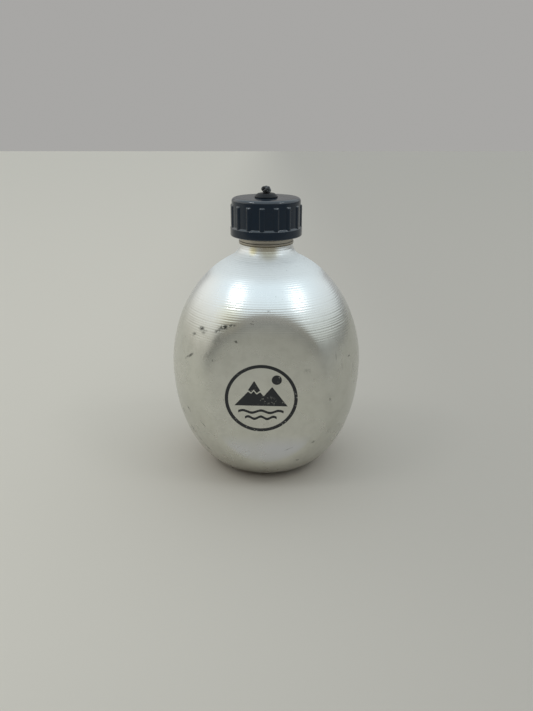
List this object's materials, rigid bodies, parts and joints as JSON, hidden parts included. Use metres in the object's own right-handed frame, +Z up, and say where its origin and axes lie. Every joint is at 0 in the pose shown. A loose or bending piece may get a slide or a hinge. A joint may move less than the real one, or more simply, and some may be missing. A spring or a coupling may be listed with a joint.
{
  "type": "screw-top canteen",
  "caption": "Round-shouldered metal water canteen with pressed flat faces, a short threaded neck, and a ribbed screw cap kept on by an inner cord and toggle.",
  "frame": {"origin": "middle of the base, on the surface that the canteen stands on", "axes": "+Z up along the neck, -Y towards the printed pressed face, +X to the right of that face"},
  "size_m": [0.121, 0.097, 0.1793],
  "materials": {
    "flask_metal": "satin spun aluminium, scuffed and lightly stained",
    "collar_metal": "satin, warm tinted",
    "cap_plastic": "semi-gloss moulded, dusty",
    "seal_rubber": "matt pale gasket",
    "washer_plastic": "matt moulded",
    "cord_fabric": "braided nylon",
    "toggle_plastic": "matt moulded",
    "print_ink": "thin black printed ink, worn"
  },
  "bodies": {
    "flask": {"flask_shell": "flask_metal", "neck_collar": "collar_metal"},
    "tether": {"top_washer": "washer_plastic", "top_knot": "cord_fabric", "tether_cord": "cord_fabric", "inner_washer": "washer_plastic", "inner_knot": "cord_fabric", "toggle_knot": "cord_fabric"},
    "cap": {"cap_shell": "cap_plastic", "cap_seal": "seal_rubber"},
    "toggle": {"toggle_bar": "toggle_plastic"}
  },
  "joints": [
    {"name": "cap_rise", "type": "slide", "parent": "flask", "child": "tether", "axis": [0, 0, 1], "range_m": [0, 0.025]},
    {"name": "cap_turn", "type": "hinge", "parent": "tether", "child": "cap", "pos_m": [0, 0, 0.1612], "axis": [0, 0, 1], "range_deg": [0, 1800]},
    {"name": "toggle_tilt", "type": "hinge", "parent": "tether", "child": "toggle", "pos_m": [0, 0, 0.0756], "axis": [0, 1, 0], "range_deg": [-25, 25]}
  ],
  "couplings": [
    {"joint": "cap_rise", "follows": "cap_turn", "m_per_rad": 0.00079577}
  ]
}
